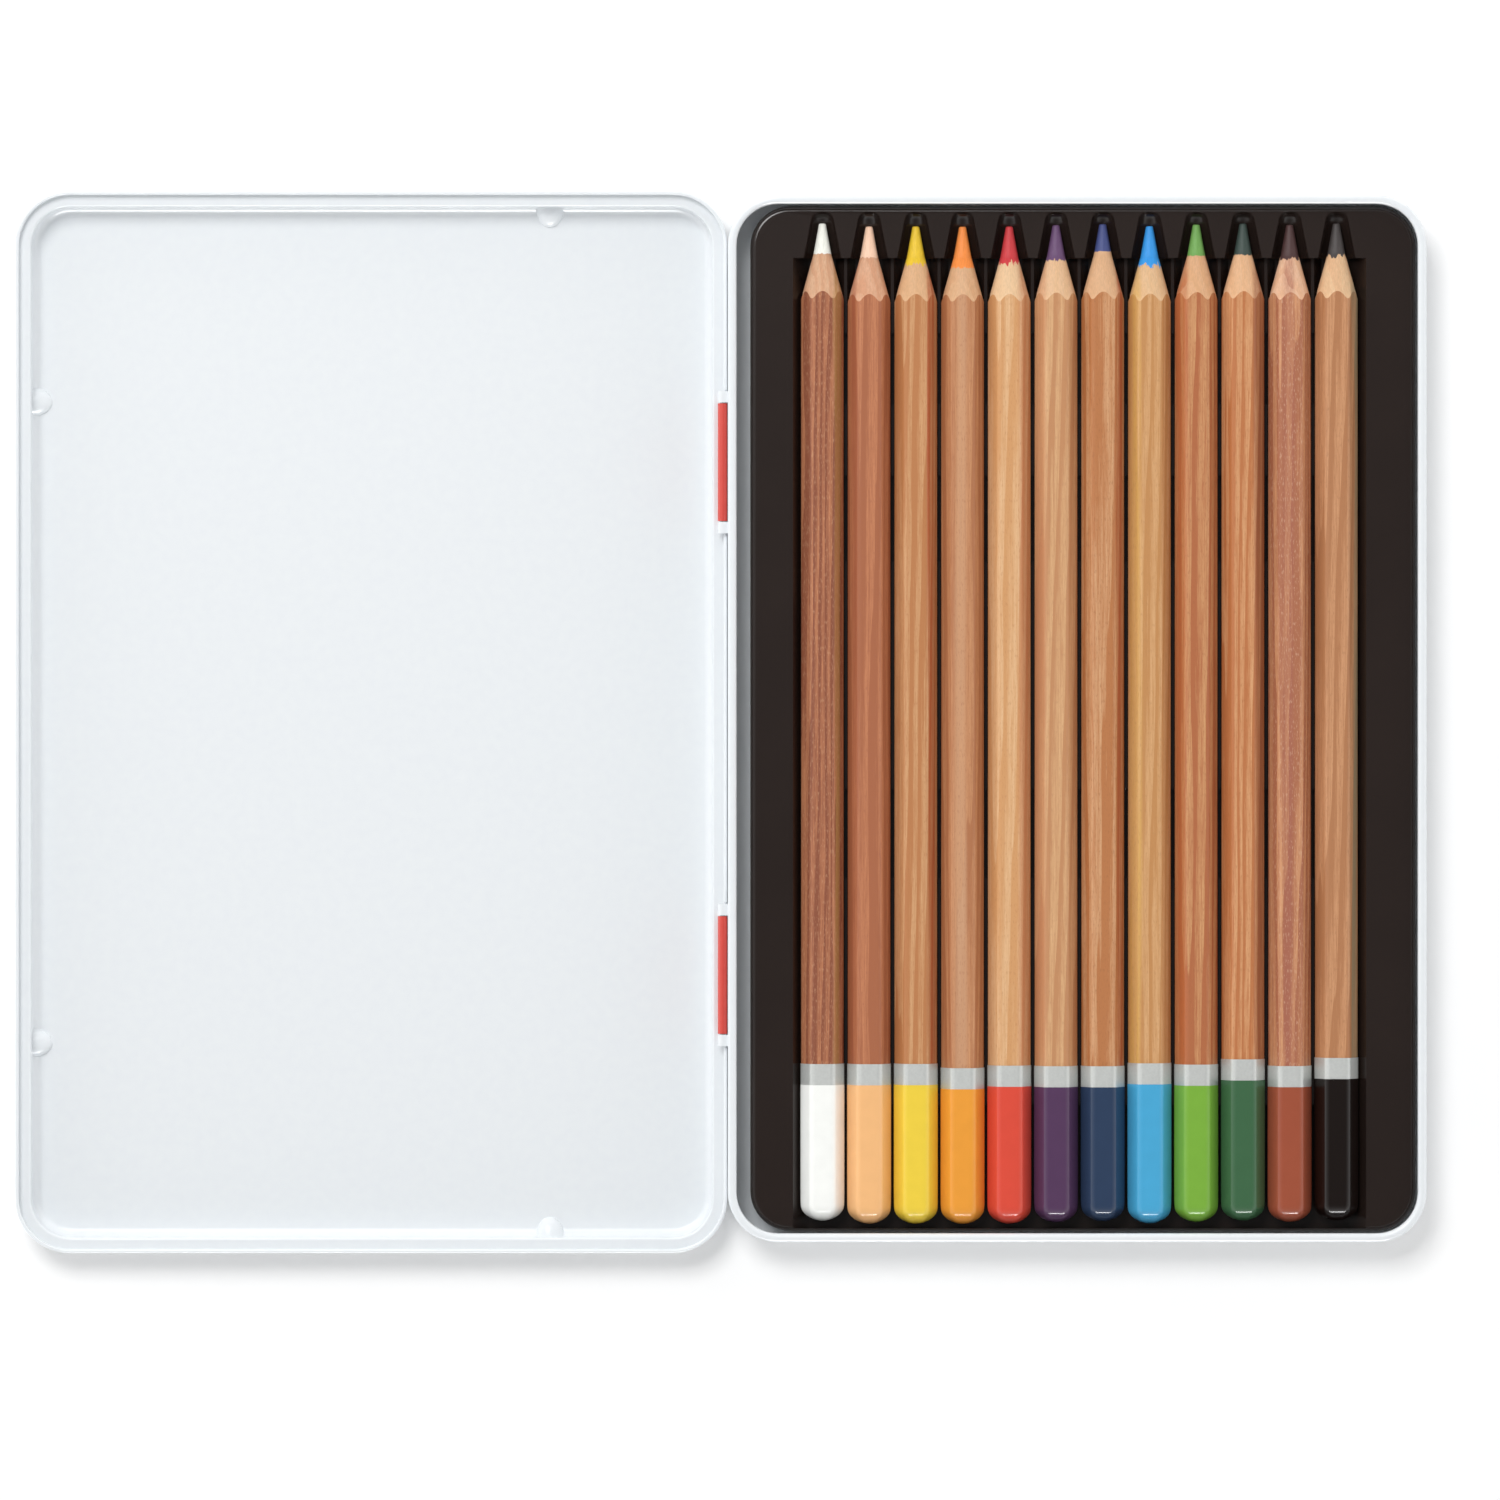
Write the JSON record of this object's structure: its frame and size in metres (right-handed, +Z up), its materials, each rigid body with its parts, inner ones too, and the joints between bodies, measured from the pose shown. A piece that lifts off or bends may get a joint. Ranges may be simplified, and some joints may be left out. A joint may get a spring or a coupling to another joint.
{
  "type": "colour pencil set in a hinged tin",
  "caption": "Flat hinged tin lying open, with a moulded tray of clear-lacquered hexagonal colour pencils that have dipped coloured ends and silver bands",
  "frame": {"origin": "centre of the base tin's flat underside, on the surface that the open tin lies on", "axes": "+Z up; +Y along the pencils towards their sharpened tips; +X across the pencils, away from the hinge, so that the open lid lies on the -X side"},
  "size_m": [0.2473, 0.1862, 0.0094],
  "materials": {
    "white_tinplate": "smooth white lacquer",
    "red_tinplate": "smooth red lacquer",
    "hinge_steel": "drawn wire",
    "tray_plastic": "satin, finely textured",
    "silver_band": "bright foil",
    "wood_01": "clear lacquer",
    "white_core": "waxy pigment",
    "white_cap": "glossy dipped lacquer",
    "wood_02": "clear lacquer",
    "peach_core": "waxy pigment",
    "peach_cap": "glossy dipped lacquer",
    "wood_03": "clear lacquer",
    "yellow_core": "waxy pigment",
    "yellow_cap": "glossy dipped lacquer",
    "wood_04": "clear lacquer",
    "orange_core": "waxy pigment",
    "orange_cap": "glossy dipped lacquer",
    "wood_05": "clear lacquer",
    "red_core": "waxy pigment",
    "red_cap": "glossy dipped lacquer",
    "wood_06": "clear lacquer",
    "violet_core": "waxy pigment",
    "violet_cap": "glossy dipped lacquer",
    "wood_07": "clear lacquer",
    "dark_blue_core": "waxy pigment",
    "dark_blue_cap": "glossy dipped lacquer",
    "wood_08": "clear lacquer",
    "light_blue_core": "waxy pigment",
    "light_blue_cap": "glossy dipped lacquer",
    "wood_09": "clear lacquer",
    "light_green_core": "waxy pigment",
    "light_green_cap": "glossy dipped lacquer",
    "wood_10": "clear lacquer",
    "dark_green_core": "waxy pigment",
    "dark_green_cap": "glossy dipped lacquer",
    "wood_11": "clear lacquer",
    "red_brown_core": "waxy pigment",
    "red_brown_cap": "glossy dipped lacquer",
    "wood_12": "clear lacquer",
    "black_core": "waxy pigment",
    "black_cap": "glossy dipped lacquer"
  },
  "bodies": {
    "base": {"base_shell": "white_tinplate", "hinge_wire_near": "hinge_steel", "hinge_wire_far": "hinge_steel"},
    "lid": {"lid_shell": "white_tinplate", "hinge_strip_near": "red_tinplate", "hinge_strip_far": "red_tinplate"},
    "tray": {"pencil_tray": "tray_plastic"},
    "pencil_01": {"pencil_01_barrel": "wood_01", "pencil_01_core": "white_core", "pencil_01_band": "silver_band", "pencil_01_cap": "white_cap"},
    "pencil_02": {"pencil_02_barrel": "wood_02", "pencil_02_core": "peach_core", "pencil_02_band": "silver_band", "pencil_02_cap": "peach_cap"},
    "pencil_03": {"pencil_03_barrel": "wood_03", "pencil_03_core": "yellow_core", "pencil_03_band": "silver_band", "pencil_03_cap": "yellow_cap"},
    "pencil_04": {"pencil_04_barrel": "wood_04", "pencil_04_core": "orange_core", "pencil_04_band": "silver_band", "pencil_04_cap": "orange_cap"},
    "pencil_05": {"pencil_05_barrel": "wood_05", "pencil_05_core": "red_core", "pencil_05_band": "silver_band", "pencil_05_cap": "red_cap"},
    "pencil_06": {"pencil_06_barrel": "wood_06", "pencil_06_core": "violet_core", "pencil_06_band": "silver_band", "pencil_06_cap": "violet_cap"},
    "pencil_07": {"pencil_07_barrel": "wood_07", "pencil_07_core": "dark_blue_core", "pencil_07_band": "silver_band", "pencil_07_cap": "dark_blue_cap"},
    "pencil_08": {"pencil_08_barrel": "wood_08", "pencil_08_core": "light_blue_core", "pencil_08_band": "silver_band", "pencil_08_cap": "light_blue_cap"},
    "pencil_09": {"pencil_09_barrel": "wood_09", "pencil_09_core": "light_green_core", "pencil_09_band": "silver_band", "pencil_09_cap": "light_green_cap"},
    "pencil_10": {"pencil_10_barrel": "wood_10", "pencil_10_core": "dark_green_core", "pencil_10_band": "silver_band", "pencil_10_cap": "dark_green_cap"},
    "pencil_11": {"pencil_11_barrel": "wood_11", "pencil_11_core": "red_brown_core", "pencil_11_band": "silver_band", "pencil_11_cap": "red_brown_cap"},
    "pencil_12": {"pencil_12_barrel": "wood_12", "pencil_12_core": "black_core", "pencil_12_band": "silver_band", "pencil_12_cap": "black_cap"}
  },
  "joints": [
    {"name": "lid_hinge", "type": "hinge", "parent": "base", "child": "lid", "pos_m": [-0.0621, 0, 0.0075], "axis": [0, -1, 0], "range_deg": [-180, 0]},
    {"name": "tray_lift", "type": "slide", "parent": "base", "child": "tray", "axis": [0, 0, 1], "range_m": [0, 0.04]},
    {"name": "pencil_01_lift", "type": "slide", "parent": "tray", "child": "pencil_01", "axis": [0, 0, 1], "range_m": [0, 0.03]},
    {"name": "pencil_02_lift", "type": "slide", "parent": "tray", "child": "pencil_02", "axis": [0, 0, 1], "range_m": [0, 0.03]},
    {"name": "pencil_03_lift", "type": "slide", "parent": "tray", "child": "pencil_03", "axis": [0, 0, 1], "range_m": [0, 0.03]},
    {"name": "pencil_04_lift", "type": "slide", "parent": "tray", "child": "pencil_04", "axis": [0, 0, 1], "range_m": [0, 0.03]},
    {"name": "pencil_05_lift", "type": "slide", "parent": "tray", "child": "pencil_05", "axis": [0, 0, 1], "range_m": [0, 0.03]},
    {"name": "pencil_06_lift", "type": "slide", "parent": "tray", "child": "pencil_06", "axis": [0, 0, 1], "range_m": [0, 0.03]},
    {"name": "pencil_07_lift", "type": "slide", "parent": "tray", "child": "pencil_07", "axis": [0, 0, 1], "range_m": [0, 0.03]},
    {"name": "pencil_08_lift", "type": "slide", "parent": "tray", "child": "pencil_08", "axis": [0, 0, 1], "range_m": [0, 0.03]},
    {"name": "pencil_09_lift", "type": "slide", "parent": "tray", "child": "pencil_09", "axis": [0, 0, 1], "range_m": [0, 0.03]},
    {"name": "pencil_10_lift", "type": "slide", "parent": "tray", "child": "pencil_10", "axis": [0, 0, 1], "range_m": [0, 0.03]},
    {"name": "pencil_11_lift", "type": "slide", "parent": "tray", "child": "pencil_11", "axis": [0, 0, 1], "range_m": [0, 0.03]},
    {"name": "pencil_12_lift", "type": "slide", "parent": "tray", "child": "pencil_12", "axis": [0, 0, 1], "range_m": [0, 0.03]}
  ]
}
